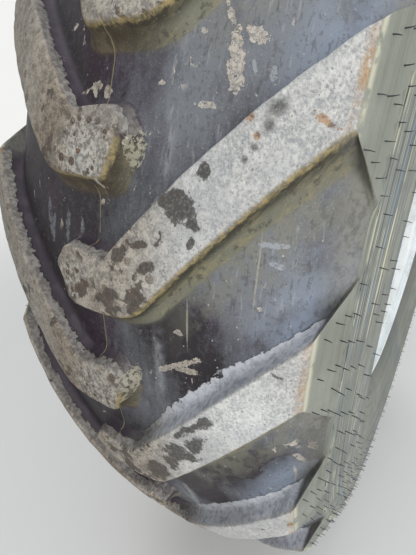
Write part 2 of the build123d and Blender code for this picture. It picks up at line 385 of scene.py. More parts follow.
class Tread:
    """The tread drawn flat: across the tyre in x, round it in y, and then wrapped."""

    def __init__(self, sizes):
        self.sizes = sizes
        self.pitch = 2 * pi / sizes.lug_count * TYRE_RADIUS
        self.stretch = hypot(END_DROP, END_FLARE) / END_FLARE
        self.edge = self.flat_across(RIDGE[0])
        self.folds = [TREAD_HALF + past for past in SHOULDER_FOLDS]

    def flat_across(self, out):
        """Place across the flat drawing of a distance from the centre plane."""
        past = np.maximum(np.abs(out) - TREAD_HALF, 0)
        return np.sign(out) * (np.abs(out) - past + past * self.stretch)

    def out_of(self, across):
        """Distance from the centre plane of a place across the flat drawing."""
        past = np.maximum(np.abs(across) - TREAD_HALF, 0)
        return np.sign(across) * (np.abs(across) - past + past / self.stretch)

    def radii(self, out):
        """Radius of the lugs' surface and of the carcass's, at distances from the centre."""
        out = np.abs(out)
        end = RIDGE[1] + (RIDGE[0] - out) * END_DROP / END_FLARE
        top = smooth_min(crown_radius(np.minimum(out, RIDGE[0])), end, SHOULDER_BEND)
        floor_edge = crown_radius(FLOOR_HALF, self.sizes.lug_depth)
        slope = (floor_edge - RIDGE[1]) / (RIDGE[0] - FLOOR_HALF)
        floor = crown_radius(np.minimum(out, RIDGE[0]), self.sizes.lug_depth)
        floor = smooth_min(floor, floor_edge - (out - FLOOR_HALF) * slope, FLOOR_BEND)
        return top, floor

    def wrap(self, points, lift, turn):
        """Points of the flat drawing, lifted by a share of the lugs' height, as places."""
        out = self.out_of(points[:, 0])
        top, floor = self.radii(out)
        radius = floor + (top - floor) * lift
        angle = self.sizes.first_lug + turn + points[:, 1] / TYRE_RADIUS
        return wheel_places(out, radius, angle)

    def lug_outline(self):
        """The corners of an outboard lug in the flat drawing, with their roundings."""
        corners = [
            (self.flat_across(out), radians(angle) * TYRE_RADIUS, rounding)
            for out, angle, rounding in LUG_CORNERS
        ]
        flare = self.sizes.flare * TYRE_RADIUS * END_REACH
        ridge = TREAD_HALF + (self.edge - TREAD_HALF) * END_REACH
        start = (ridge, corners[0][1] + flare, 0.0)
        end = (ridge, corners[-1][1] - flare, 0.0)
        return [start, *corners, end]


def wheel_places(out, radius, angle):
    """Places of distances from the centre plane, radii and angles above forward."""
    out, radius, angle = np.broadcast_arrays(out, radius, angle)
    return np.stack(
        [-radius * np.cos(angle), RIM_OFFSET - out, radius * np.sin(angle)], axis=-1
    )


def divided(points, step, shortest=0.0):
    """A line through points, divided into even steps, without its shortest gaps."""
    line = [points[0]]
    for start, end in zip(points, points[1:]):
        gap = np.linalg.norm(end - start)
        if gap >= step * shortest:
            count = max(int(round(gap / step)), 1)
            line += [start + (end - start) * (index + 1) / count for index in range(count)]
    return np.array(line)


def rounded_line(corners, step):
    """Points along an open line whose corners are rounded, with its outward normals."""
    points = []
    for last, here, following in zip(corners, corners[1:], corners[2:]):
        a, b, c = (np.array(corner[:2]) for corner in (last, here, following))
        come, go = (b - a) / np.linalg.norm(b - a), (c - b) / np.linalg.norm(c - b)
        turn = atan2(come[0] * go[1] - come[1] * go[0], come @ go)
        cut = here[2] * tan(abs(turn) / 2)
        start, side = b - come * cut, np.sign(turn) * np.array([-come[1], come[0]])
        centre = start + side * here[2]
        count = max(ceil(here[2] * abs(turn) / step), ceil(abs(turn) / WIDEST_TURN), 1)
        for index in range(count + 1):
            swing = turn * index / count
            spoke = -side * here[2]
            spun = np.array([
                spoke[0] * cos(swing) - spoke[1] * sin(swing),
                spoke[0] * sin(swing) + spoke[1] * cos(swing),
            ])
            points.append(centre + spun)
    points = [np.array(corners[0][:2]), *points, np.array(corners[-1][:2])]
    line = divided(points, step, SHORTEST_GAP)
    along = np.gradient(line, axis=0)
    along /= np.linalg.norm(along, axis=1)[:, None]
    return line, np.stack([along[:, 1], -along[:, 0]], axis=1)


def distance_to(points, line, closed=False):
    """Distance from each point to a line of short runs."""
    ends = np.roll(line, -1, axis=0) if closed else line[1:]
    starts = line if closed else line[:-1]
    best = np.full(len(points), 1e9)
    for start, end in zip(starts, ends):
        way = end - start
        share = np.clip((points - start) @ way / max(way @ way, 1e-18), 0, 1)
        best = np.minimum(best, np.linalg.norm(points - start - share[:, None] * way, axis=1))
    return best


def inside(points, line):
    """Whether each point lies inside a closed line."""
    hit = np.zeros(len(points), bool)
    for (x0, y0), (x1, y1) in zip(line, np.roll(line, -1, axis=0)):
        if y0 == y1:
            continue
        crosses = (points[:, 1] > y0) != (points[:, 1] > y1)
        hit ^= crosses & (points[:, 0] < x0 + (points[:, 1] - y0) * (x1 - x0) / (y1 - y0))
    return hit


def nearest_value(points, line, values):
    """The value at the nearest point of a line."""
    if len(points) == 0:
        return np.zeros(0)
    return values[np.argmin(np.linalg.norm(points[:, None] - line[None], axis=2), axis=1)]


def scattered(low, high, step):
    """Points of a staggered grid in a box, moved a little each by an even formula."""
    rows = np.arange(low[1], high[1], step * 0.87)
    points = []
    for row, y in enumerate(rows):
        x = np.arange(low[0] + step * 0.5 * (row % 2), high[0], step)
        points.append(np.stack([x, np.full(len(x), y)], axis=1))
    points = np.concatenate(points)
    wobble = np.sin(points[:, ::-1] * 1900.0 + points * 1300.0)
    return points + wobble * step * WOBBLE


def with_folds(run, folds):
    """Rows of a ring, with a row wherever it crosses a fold and none crowded beside one."""
    rows, on_fold = [run[0]], [False]
    for here, there in zip(run, run[1:]):
        crossed = [fold for fold in folds if min(here[0], there[0]) < fold < max(here[0], there[0])]
        for fold in sorted(crossed, reverse=bool(there[0] < here[0])):
            rows.append(here + (fold - here[0]) / (there[0] - here[0]) * (there - here))
            on_fold.append(True)
        rows.append(there)
        on_fold.append(False)
    rows, on_fold = np.array(rows), np.array(on_fold)
    kept = [0]
    for index in range(1, len(rows)):
        near = np.abs(rows[index, 0] - np.array(folds)).min() < FOLD_ROOM
        gap = np.linalg.norm(rows[index, :2] - rows[kept[-1], :2])
        if on_fold[index] or (gap > RING_ROOM and not near):
            kept.append(index)
    return rows[kept]


class Drawing:
    """Points and lines gathered for one flat triangulation."""

    def __init__(self):
        self.points, self.lines = [], []
        self.values = {"lift": [], "edge": [], "lead": []}

    def add(self, points, lift, edge, lead, joined=False):
        """Add points with their lift, signed distance to the lug's edge and facing."""
        first, count = len(self.points), len(points)
        self.points += [tuple(point) for point in points]
        for name, values in (("lift", lift), ("edge", edge), ("lead", lead)):
            self.values[name] += list(np.broadcast_to(values, count))
        if joined:
            self.lines += [(first + index, first + index + 1) for index in range(count - 1)]
        return list(range(first, first + count))


class LugOutline:
    """One lug's outline in the flat drawing, with how far each part of it faces back."""

    def __init__(self, tread, mirrored):
        self.line, self.normal = rounded_line(tread.lug_outline(), tread.sizes.spacing)
        self.lead = np.clip(-self.normal[:, 1], -1, 1)
        self.worn = np.clip(self.lead * 1.3, 0, 1)
        self.side = -1.0 if mirrored else 1.0
        self.shift = tread.pitch / 2 if mirrored else 0.0
        self.placed_line = self.placed(self.line)

    def placed(self, points):
        """Points of an outboard lug's drawing as those of this lug."""
        return points * (self.side, 1.0) + (0.0, self.shift)


def draw_lug(drawing, tread, lug):
    """Draw one lug's rings, the folds of its shoulder and the points of its top."""
    sizes = tread.sizes
    rounding = sizes.edge_round + (sizes.worn_round - sizes.edge_round) * lug.worn
    foot = sizes.foot_round + (sizes.wide_foot - sizes.foot_round) * lug.worn
    top_edge = None
    for round_share, draft_share, foot_share, trailing_depth, leading_depth in LUG_RINGS:
        inward = round_share * rounding - draft_share * sizes.draft - foot_share * foot
        fallen = trailing_depth + (leading_depth - trailing_depth) * lug.worn
        drop = (1 - sqrt(1 - (1 - round_share) ** 2)) * rounding * (1 - fallen)
        lift = 1 - fallen - drop / sizes.lug_depth * (draft_share == 0)
        ring = lug.line - lug.normal * inward[:, None]
        whole = distance_to(ring, lug.line) > np.abs(inward) * RING_NEARNESS - 1e-6
        whole &= ring[:, 0] < tread.edge - RIDGE_ROOM
        runs = np.split(np.arange(len(ring)), np.flatnonzero(np.diff(whole.astype(int))) + 1)
        for run in runs:
            if not whole[run[0]] or len(run) < 2:
                continue
            rows = np.column_stack([ring[run], lift[run], inward[run], lug.lead[run]])
            rows = with_folds(rows, tread.folds)
            drawing.add(lug.placed(rows[:, :2]), *rows[:, 2:].T, joined=True)
        if top_edge is None:
            top_edge = ring

    for fold in tread.folds:
        low, high = fold_ends(top_edge, fold)
        count = int((high - low - EDGE_ROOM * 2) / sizes.spacing)
        y = np.linspace(low + EDGE_ROOM, high - EDGE_ROOM, count)
        points = np.column_stack([np.full(count, fold), y])
        room = distance_to(points, lug.line)
        drawing.add(
            lug.placed(points), 1.0, room, nearest_value(points, lug.line, lug.lead), joined=True
        )

    grid = scattered(lug.line.min(0), lug.line.max(0), TOP_GRID)
    room = distance_to(grid, lug.line)
    keep = inside(grid, lug.line) & (room > sizes.worn_round + EDGE_ROOM)
    keep &= grid[:, 0] < tread.edge - EDGE_ROOM
    keep &= np.abs(grid[:, :1] - np.array(tread.folds)).min(1) > TOP_ROOM
    drawing.add(
        lug.placed(grid[keep]), 1.0, room[keep], nearest_value(grid[keep], lug.line, lug.lead)
    )


def fold_ends(ring, fold):
    """Where a ring first and last crosses a fold."""
    crossings = []
    for here, there in zip(ring, ring[1:]):
        if (here[0] - fold) * (there[0] - fold) < 0:
            share = (fold - here[0]) / (there[0] - here[0])
            crossings.append(here[1] + share * (there[1] - here[1]))
    return min(crossings), max(crossings)


def draw_pitch(tread):
    """The flat drawing of one pitch of the tread, cut apart along the grooves."""
    sizes = tread.sizes
    drawing = Drawing()
    lugs = [LugOutline(tread, mirrored) for mirrored in (False, True)]
    groove = np.array([
        (tread.flat_across(out), radians(angle) * TYRE_RADIUS) for out, angle in GROOVE_LINE
    ])
    low_line = divided(groove, GROOVE_STEP)
    high_line = low_line + (0.0, tread.pitch)
    steps = np.arange(1, sizes.columns)[:, None] / sizes.columns
    right = low_line[-1] + steps * (high_line[-1] - low_line[-1])
    left = (low_line[0] + steps * (high_line[0] - low_line[0]))[::-1]
    border = np.concatenate([low_line, right, high_line[::-1], left])
    outer = drawing.add(border, *lug_values(border, lugs))
    for lug in lugs:
        draw_lug(drawing, tread, lug)
    grid = scattered(border.min(0), border.max(0), FLOOR_GRID)
    lift, edge, lead = lug_values(grid, lugs)
    foot = sizes.draft + np.where(lead > 0.1, sizes.wide_foot, sizes.foot_round)
    keep = inside(grid, border) & (distance_to(grid, border, closed=True) > BORDER_ROOM)
    keep &= (lift == 0) & (-edge > foot + FOOT_ROOM)
    drawing.add(grid[keep], 0.0, edge[keep], lead[keep])
    return drawing, outer


def lug_values(points, lugs):
    """Lift, signed distance to the nearest lug's edge, and that edge's facing."""
    lift, edge, lead = np.zeros(len(points)), np.full(len(points), -1e9), np.zeros(len(points))
    for lug in lugs:
        within = inside(points, lug.placed_line)
        distance = distance_to(points, lug.placed_line) * np.where(within, 1, -1)
        nearer = distance > edge
        edge = np.where(nearer, distance, edge)
        lead = np.where(nearer, nearest_value(points, lug.placed_line, lug.lead), lead)
        lift = np.where(within, 1.0, lift)
    return lift, edge, lead


def tread_mesh(tread):
    """Places, faces and painted values of the whole tread's outer skin."""
    drawing, outer = draw_pitch(tread)
    points, _, faces, origins, _, _ = delaunay_2d_cdt(
        [Vector(point) for point in drawing.points], drawing.lines, [outer], 1, 1e-6
    )
    flat = np.array([tuple(point) for point in points])
    given = np.array(drawing.points)
    source = [
        origin[0] if origin else int(np.argmin(np.linalg.norm(given - place, axis=1)))
        for place, origin in zip(flat, origins)
    ]
    count = tread.sizes.lug_count
    values = {name: np.array(kept)[source] for name, kept in drawing.values.items()}
    lugs = [(tread.wrap(flat, values["lift"], turn), faces) for turn in even_angles(count)]
    places, faces = joined(lugs)
    values = {name: np.tile(value, count) for name, value in values.items()}
    return weathered(places, values["lift"], values["edge"]), faces, values


def weathered(places, lift, edge):
    """Wear a little off the lugs' edges and tops, unevenly."""
    moved = places.copy()
    for index in np.flatnonzero(lift > 0.3):
        x, y, z = places[index]
        here = Vector((x, y, z))
        radius = hypot(x, z)
        out = abs(RIM_OFFSET - y)
        soft = noise.noise(here * 55.0)
        sharp = noise.noise(here * 170.0)
        near = max(0.0, 1.0 - abs(edge[index]) / WORN_BAND)
        loss = WEAR * (0.5 + soft) + near * (EDGE_WEAR * max(soft, -0.2) + WEAR * sharp)
        loss *= min(max((RIDGE[0] - out) / END_FLARE, 0.0), 1.0)
        share = lift[index] * max(loss, -0.0002) / radius
        moved[index, 0] -= x * share
        moved[index, 2] -= z * share
    return moved


def sidewall_profile():
    """The section of the outboard sidewall with the ribs in it, closed through the rubber."""
    outside = [SIDEWALL[0]]
    for start, end in zip(SIDEWALL, SIDEWALL[1:]):
        ribs = SIDE_RIBS if start[1] > BEAD_TOP else ()
        for rib, _, width in ribs:
            for shift in RIB_STEPS:
                radius = rib + width * shift
                if end[1] + RIB_ROOM < radius < start[1] - RIB_ROOM:
                    share = (start[1] - radius) / (start[1] - end[1])
                    outside.append((start[0] + share * (end[0] - start[0]), radius))
        outside.append(end)
    profile = []
    for out, radius in outside:
        if radius > BEAD_TOP:
            out += sum(
                rise * np.exp(-(((radius - at) / wide) ** 2)) for at, rise, wide in SIDE_RIBS
            )
        profile.append((out, radius))
    return profile + list(AIR_SIDE)


def skin(columns, closed=True, capped=False):
    """Places and faces of columns of places, one beside another all the way round."""
    rows, around = len(columns[0]), len(columns)
    faces = []
    for column in range(around):
        here, beyond = column * rows, (column + 1) % around * rows
        for row in range(rows if closed else rows - 1):
            up = (row + 1) % rows
            faces.append((here + row, here + up, beyond + up, beyond + row))
    if capped:
        faces += [tuple(column * rows + end for column in range(around)) for end in (0, rows - 1)]
    return np.concatenate(columns), faces


def lathe(profile, angles, closed=True):
    """Places and faces of a profile carried round the axle through given angles."""
    out, radius = np.array(profile).T
    return skin([wheel_places(out, radius, angle) for angle in angles], closed)


def joined(meshes):
    """The places and faces of several meshes as those of one."""
    places, faces, count = [], [], 0
    for more_places, more_faces in meshes:
        faces += [tuple(corner + count for corner in face) for face in more_faces]
        places.append(more_places)
        count += len(more_places)
    return np.concatenate(places), faces


def even_angles(count, first=0.0):
    """Angles evenly round the axle."""
    return [first + index * 2 * pi / count for index in range(count)]


def linked(name, data):
    """A new object in the scene."""
    made = bpy.data.objects.new(name, data)
    bpy.context.scene.collection.objects.link(made)
    return made


def new_mesh(name, places, faces, values=None):
    """A mesh with values stored at its points, welded and facing out."""
    mesh = bpy.data.meshes.new(name)
    mesh.from_pydata([tuple(place) for place in places], [], faces)
    for value_name, value in (values or {}).items():
        layer = mesh.attributes.new(value_name, "FLOAT", "POINT")
        layer.data.foreach_set("value", np.asarray(value, np.float32))
    welder = bmesh.new()
    welder.from_mesh(mesh)
    bmesh.ops.remove_doubles(welder, verts=welder.verts, dist=WELD_DISTANCE)
    bmesh.ops.recalc_face_normals(welder, faces=welder.faces)
    welder.to_mesh(mesh)
    welder.free()
    mesh.validate()
    return mesh


def new_piece(name, shape, material, replaced=None, sharp=STEEL_SHARP, values=None):
    """Make a mesh piece of the wheel that rides on its body."""
    mesh = new_mesh(name, *shape, values)
    piece = linked(name, mesh)
    mesh.materials.append(material)
    mesh.shade_smooth()
    mesh.set_sharp_from_angle(angle=radians(sharp))
    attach(piece, "root")
    if replaced:
        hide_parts(replaced)
    return piece


def maths(operation, last=False):
    """A method that adds a Math node on a wire, with the wire as its first or last value."""

    def add_node(self, *others):
        values = (*others, self) if last else (self, *others)
        return self.graph.node("Math", dict(enumerate(values)), operation=operation)

    return add_node


class Wire:
    """The output of a shader node, on which Python's operators add Math nodes."""

    __add__, __radd__ = maths("ADD"), maths("ADD", last=True)
    __sub__, __rsub__ = maths("SUBTRACT"), maths("SUBTRACT", last=True)
    __mul__, __rmul__ = maths("MULTIPLY"), maths("MULTIPLY", last=True)
    __truediv__, __abs__ = maths("DIVIDE"), maths("ABSOLUTE")
    power, arctan2 = maths("POWER"), maths("ARCTAN2")
    least, most = maths("MINIMUM"), maths("MAXIMUM")

    def __init__(self, graph, socket):
        self.graph, self.socket = graph, socket

    def outputs(self, *names):
        """Other outputs of the same node."""
        return [Wire(self.graph, self.socket.node.outputs[name]) for name in names]

    def held(self):
        """The value, kept from 0 to 1."""
        return self.most(0.0).least(1.0)

    def between(self, low, high):
        """0 up to a low value, 1 from a high one on, and smooth between them."""
        if low > high:
            return 1.0 - self.between(high, low)
        inputs = {"Value": self, "From Min": low, "From Max": high}
        return self.graph.node("MapRange", inputs, "Result", interpolation_type="SMOOTHSTEP")

    def band(self, middle, half_width):
        """1 at a value and 0 beyond a distance from it."""
        return abs(self - middle).between(half_width, 0.0)


class Graph:
    """The nodes of a material or of the world."""

    def __init__(self, owner, output="OutputMaterial"):
        self.owner = owner
        owner.use_nodes = True
        self.tree = owner.node_tree
        self.tree.nodes.clear()
        self.output = self.tree.nodes.new("ShaderNode" + output)

    def node(self, kind, inputs=None, output=0, **settings):
        """Add a node with its settings and the values or links of its sockets."""
        made = self.tree.nodes.new("ShaderNode" + kind)
        for name, value in settings.items():
            setattr(made, name, value)
        for name, value in (inputs or {}).items():
            socket = made.inputs[name]
            if isinstance(value, Wire):
                self.tree.links.new(value.socket, socket)
            else:
                socket.default_value = value
        return Wire(self, made.outputs[output])

    def place(self):
        """The object's own coordinates at a shaded point."""
        return self.node("TexCoord", output="Object")

    def mix(self, first, second, share, blend="MIX"):
        """A colour between two colours."""
        inputs = {0: share, 6: self.colour(first), 7: self.colour(second)}
        return self.node("Mix", inputs, 2, data_type="RGBA", blend_type=blend)

    def tint(self, first, second, share):
        """A colour multiplied by another, by a share."""
        return self.mix(first, second, share, "MULTIPLY")

    def layers(self, colour, *rows):
        """A colour under layers, each given by its colour and its share."""
        for layer, share in rows:
            colour = self.mix(colour, layer, share)
        return colour

    def colour(self, value):
        """A colour's wire as it is, or a colour's numbers with an alpha."""
        return value if isinstance(value, Wire) else (*value[:3], 1.0)

    def vector(self, operation, *values, output=0):
        """What a Vector Math node gives."""
        return self.node("VectorMath", dict(enumerate(values)), output, operation=operation)

    def parts(self, vector):
        """The three numbers of a vector."""
        return self.node("SeparateXYZ", {"Vector": vector}).outputs(0, 1, 2)

    def joined(self, x, y, z):
        """The vector of three numbers."""
        return self.node("CombineXYZ", {"X": x, "Y": y, "Z": z})

    def noise(self, vector, size, detail=3.0, rough=0.55, warp=0.0, squeeze=None):
        """Noise whose features are about a size in metres across, or longer in x and y."""
        if squeeze:
            vector = self.vector("MULTIPLY", vector, (squeeze, squeeze, 1.0))
        numbers = {"Scale": 1.0 / size, "Detail": detail, "Roughness": rough, "Distortion": warp}
        return self.node("TexNoise", {"Vector": vector, **numbers}, "Fac")

    def dots(self, vector, size, least, most):
        """1 in round dots of uneven radius, one in each cell of a size, and 0 outside them."""
        inputs = {"Vector": vector, "Scale": 1.0 / size, "Randomness": 1.0}
        cells = self.node("TexVoronoi", inputs, "Distance")
        pick = self.parts(*cells.outputs("Color"))[0]
        return (pick * (most - least) + least - cells).between(0.0, 0.06)

    def ovals(self, flat, rows):
        """How deep a place lies in the nearest of some ovals: 1 at a centre, 0 at an edge."""
        nearest = None
        for out, angle, length, width, turn in rows:
            centre = (out / 1000, radians(angle) * TYRE_RADIUS, 0.0)
            inputs = {"Vector": flat, "Center": centre, "Angle": radians(-turn)}
            turned = self.node("VectorRotate", inputs, rotation_type="Z_AXIS")
            shares = (1000 / width, 1000 / length, 0.0)
            moved = (-centre[0] * shares[0], -centre[1] * shares[1], 0.0)
            local = self.vector("MULTIPLY_ADD", turned, shares, moved)
            distance = self.vector("LENGTH", local, output=1)
            nearest = distance if nearest is None else nearest.least(distance)
        return 1.0 - nearest

    def bump(self, height, distance, strength=1.0, normal=None):
        """A normal tilted by a height, over another one if given."""
        inputs = {"Height": height, "Distance": distance, "Strength": strength}
        if normal is not None:
            inputs["Normal"] = normal
        return self.node("Bump", inputs, output="Normal")

    def surface(self, colour, roughness, **others):
        """A glossy and matt surface."""
        inputs = {"Base Color": colour, "Roughness": roughness, **others}
        return self.node("BsdfPrincipled", inputs)

    def blend(self, share, first, second):
        """A surface between two surfaces."""
        return self.node("MixShader", {0: share, 1: first, 2: second})

    def finish(self, shader):
        """End in a shader, and return the material or the world."""
        self.tree.links.new(shader.socket, self.output.inputs["Surface"])
        return self.owner


def new_material(name):
    """The nodes of a new material."""
    return Graph(bpy.data.materials.new(name))


def wheel_coordinates(graph):
    """The wheel's own coordinates at a shaded point."""
    place = graph.place()
    x, y, z = graph.parts(place)
    radius = (x * x + z * z).power(0.5)
    out = RIM_OFFSET - y
    ahead, up = x / radius * TYRE_RADIUS, z / radius * TYRE_RADIUS
    return {
        "place": place, "radius": radius, "angle": z.arctan2(x * -1.0), "out": out,
        "wide": abs(out), "ahead": ahead, "up": up, "around": graph.joined(ahead, up, out),
    }


def side_colour(graph, at, colours, below_ridge):
    """Olive rubber with scuffs that run round the tyre, and the streaks among them."""
    radius, place = at["radius"], at["place"]
    rings = graph.joined(at["ahead"] * 0.3, at["up"] * 0.3, radius * 34.0)
    streak = graph.noise(rings, 0.13, 4.0, 0.6)
    thin = graph.noise(graph.vector("MULTIPLY", rings, (1.2, 1.2, 3.3)), 0.11, 2.5, 0.5)
    veil = graph.noise(place, 0.05)
    fine = graph.noise(place, 0.004, 3.0, 0.6)
    broken = graph.noise(place, 0.035, 2.0, 0.5).between(0.44, 0.54)
    lined = (radius.between(0.4, 0.49) * 0.85 + 0.15) * below_ridge
    dark_lines = thin.between(0.515, 0.57) * veil.between(0.34, 0.5) * lined
    colour = graph.layers(
        colours.olive,
        ((0.11, 0.118, 0.092), streak.between(0.46, 0.6) * 0.7),
        ((0.275, 0.285, 0.245), veil.between(0.45, 0.65) * 0.35),
        ((0.145, 0.152, 0.13), fine.between(0.54, 0.7) * 0.4),
        ((0.045, 0.06, 0.085), dark_lines * 0.85),
        ((0.19, 0.235, 0.29), streak.between(0.56, 0.62) * lined * 0.6),
        ((0.5, 0.48, 0.34), thin.between(0.42, 0.385) * broken * lined * 0.8),
        ((0.54, 0.52, 0.38), radius.band(RIDGE[1] - 0.0006, 0.0017) * broken * 0.8),
    )
    return colour, streak


def tread_grain(graph):
    """Coordinates, stored values and noises that all parts of the tread share."""
    at = wheel_coordinates(graph)
    for name in ("lift", "edge", "lead"):
        stored = {"attribute_type": "GEOMETRY", "attribute_name": name}
        at[name] = graph.node("Attribute", None, "Fac", **stored)
    for name, numbers in GRAINS.items():
        at[name] = graph.noise(at["place"], *numbers)
    arc = at["angle"] * TYRE_RADIUS
    at["flat"] = graph.joined(at["out"], arc, 0.0)
    across, along = at["wide"] * 0.77 - arc * 0.64, at["wide"] * 0.64 + arc * 0.77
    fibres = graph.joined(across, along * 0.2, at["radius"])
    at["fibre"] = graph.noise(fibres, 0.0045, 5.0, 0.7, warp=0.4)
    at["leads"] = at["lead"].between(0.05, 0.35)
    return at


def named(at, names):
    """Some of the shared values, in the order of their names."""
    return [at[name] for name in names.split()]


def with_clay(graph, at, colours, colour):
    """Ochre clay in a thin band along the worn leading edges."""
    fibre, ragged, middling, fine = named(at, "fibre ragged middling fine")
    shaken = at["lift"] + (ragged - 0.5) * 0.35 + (fibre - 0.5) * 0.25
    band = at["edge"].between(0.0032, 0.0008) * shaken.between(0.72, 0.83) * at["leads"]
    band = band * (middling * 0.5 + fine * 0.5).between(0.38, 0.46)
    clay = graph.mix((0.15, 0.125, 0.062), colours.clay, fine.between(0.42, 0.58))
    return graph.mix(colour, clay, band * 0.85)


def groove_surface(graph, at, colours):
    """The groove floors and the lugs' walls."""
    place, around, out, wide, flat = named(at, "place around out wide flat")
    lift, edge, lead, leads, fibre = named(at, "lift edge lead leads fibre")
    large, middling, fine, grit, ragged = named(at, "large middling fine grit ragged")

    # rubber under a dust film that thins inboard, where the darker floor is also painted shade
    smear = graph.noise(around, 0.01, 5.0, 0.62, squeeze=0.3)
    # the dust film's share: it falls inboard both for less dust and as painted shade
    dust_and_shade = out.between(-0.03, 0.07) * 0.8 + (large - 0.5) * 1.1 + (smear - 0.5) * 1.1
    dust_and_shade = dust_and_shade + graph.ovals(flat, DUSTY_PLACES).held() * 0.8
    # darker floors in the clean places, the inboard ones painted shade
    dust_and_shade = dust_and_shade - graph.ovals(flat, CLEAN_AND_SHADED_PLACES).held() * 1.4
    dust_and_shade = (dust_and_shade + (fine - 0.5) * 0.7 + (grit - 0.5) * 0.5 - 0.08).held()
    purple = graph.noise(place, 0.1, 2.0, 0.5).between(0.48, 0.66)
    inboard = out.between(0.03, -0.03)
    floor = graph.mix(colours.rubber, colours.film, dust_and_shade)
    floor = graph.tint(floor, (1.15, 0.74, 1.15), purple * (1.0 - dust_and_shade) * (0.25 + inboard * 0.65))
    beside = edge.between(-0.06, -0.014)
    # painted sheen: a bluish sheen on the outboard floors beside the trailing walls
    painted_blue_sheen = lead.between(0.1, -0.4) * beside * out.between(0.105, 0.155) * large.between(0.3, 0.5)
    warm = lead.between(0.2, 0.6) * beside * out.between(0.05, 0.11) * middling.between(0.35, 0.6)
    # painted sheen: a broad pale band round the floor, outboard of the centre
    painted_highlight_band = out.band(0.0565, 0.0075) * large.between(0.42, 0.55) * smear.between(0.42, 0.52)
    scratch = graph.noise(around, 0.0032, 3.0, 0.6, squeeze=0.16)
    flecks = graph.dots(place, 0.006, -0.1, 0.18) * middling.between(0.44, 0.54)
    floor = graph.layers(
        floor,
        ((0.225, 0.265, 0.335), painted_blue_sheen * 0.85),
        ((0.18, 0.176, 0.14), warm * 0.65),
        ((0.3, 0.31, 0.33), painted_highlight_band * 0.6),
        ((0.06, 0.058, 0.058), fine.between(0.53, 0.64) * 0.45),
        ((0.33, 0.335, 0.335), grit.between(0.6, 0.74) * (dust_and_shade * 0.35 + 0.1)),
        ((0.29, 0.3, 0.315), scratch.between(0.6, 0.7) * dust_and_shade * 0.5),
        ((0.05, 0.048, 0.05), scratch.between(0.4, 0.31) * 0.5),
        ((0.46, 0.46, 0.45), flecks * 0.7),
    )

    # leading walls, dark under the edge and olive towards the floor, with fibrous streaks
    outer = out.between(-0.01, 0.06)
    low_wall = lift.between(0.72, 0.22)
    strands = fibre.between(0.5, 0.6) * outer * (0.3 + low_wall * 0.45)
    under = graph.mix((0.04, 0.037, 0.026), (0.15, 0.148, 0.112), low_wall * outer)
    under = graph.mix(under, (0.22, 0.19, 0.105), strands)
    brown = graph.mix((0.058, 0.043, 0.03), (0.11, 0.088, 0.055), middling.between(0.42, 0.6))
    under = graph.layers(
        brown,
        (under, outer),
        ((0.032, 0.029, 0.024), ragged.between(0.54, 0.62) * 0.55),
        ((0.33, 0.32, 0.25), grit.between(0.6, 0.72) * 0.35),
    )
    bare = graph.mix((0.024, 0.017, 0.026), (0.044, 0.034, 0.046), middling.between(0.42, 0.62))
    wall = lift.between(0.01, 0.1)
    colour = graph.mix(floor, graph.mix(bare, under, leads), wall)

    # powdery mud on the trailing walls, which ends in a ragged fringe
    clean = graph.ovals(flat, CLEAN_EDGE).between(0.0, 0.25)
    muddy = (0.7 + graph.noise(place, 0.16, 1.0, 0.5).between(0.4, 0.55) * 0.3) * (1.0 - clean)
    outboard = out.between(0.0, 0.06)
    spread = wide.between(0.03, 0.07) * wide.between(0.172, 0.105)
    shaken_edge = edge + 0.0068 + spread * 0.0082 + (ragged - 0.5) * (0.006 + spread * 0.018)
    mud = lead.between(0.05, -0.3) * shaken_edge.between(0.0, 0.001) * muddy
    high_wall = (lift + (ragged - 0.5) * 0.9).between(0.45, 0.5)
    mud = mud * high_wall.most(outboard) * wide.between(0.176, 0.17)
    powder = (fine * 0.5 + ragged * 0.5).between(0.4, 0.56)
    powder = graph.mix((0.33, 0.345, 0.39), colours.mud, powder)
    powder = graph.mix(powder, (0.56, 0.57, 0.6), shaken_edge.between(0.0045, 0.0005) * 0.5)
    inboard_mud = graph.mix((0.17, 0.155, 0.14), (0.31, 0.3, 0.275), fine.between(0.42, 0.58))
    powder = graph.mix(inboard_mud, powder, out.between(0.03, 0.08))
    crust = (graph.ovals(flat, WALL_CRUST) + (ragged - 0.5) * 1.1).between(0.12, 0.2)
    crust = crust * fine.between(0.36, 0.46)

    # splashes of mud, some of them at given places, and lines left by the mould
    shaken = (ragged - 0.5) * 1.9 + (fine - 0.5) * 1.3
    blue = (graph.ovals(flat, BLUE_SPLASHES).most(-0.6) + shaken * 0.8).between(0.1, 0.24)
    blue = blue * (fine * 0.5 + grit * 0.5).between(0.42, 0.5)
    depth = graph.ovals(flat, CREAM_SPLASHES).most(-0.6) + shaken
    veins = abs(fine - 0.5).between(0.004, 0.02) * abs(ragged - 0.48).between(0.004, 0.016)
    cream = depth.between(0.14, 0.18) * (0.7 + depth.band(0.2, 0.12) * 0.3)
    cream = cream * (0.25 + veins * 0.75) * fine.between(0.36, 0.42)
    stray = graph.noise(around, 0.016, 6.0, 0.66, warp=0.8, squeeze=0.5).between(0.625, 0.65)
    cream = cream.most(stray * graph.noise(place, 0.07, 1.0, 0.4).between(0.5, 0.58) * 0.8)
    mould = graph.ovals(flat, MOULD_LINES).between(0.0, 0.5) * fine.between(0.3, 0.5)
    flash = out.band(0.0, 0.0009) * middling.between(0.34, 0.46)
    colour = graph.layers(
        colour,
        (powder, mud * (0.75 + outboard * 0.25)),
        ((0.33, 0.315, 0.24), crust * fine.between(0.4, 0.52) * 0.75),
        ((0.3, 0.325, 0.355), blue * (0.75 - inboard * 0.4)),
        (colours.cream, cream * 0.9),
        ((0.33, 0.31, 0.25), mould * 0.7),
        ((0.33, 0.29, 0.17), flash * 0.75),
    )
    colour = with_clay(graph, at, colours, colour)

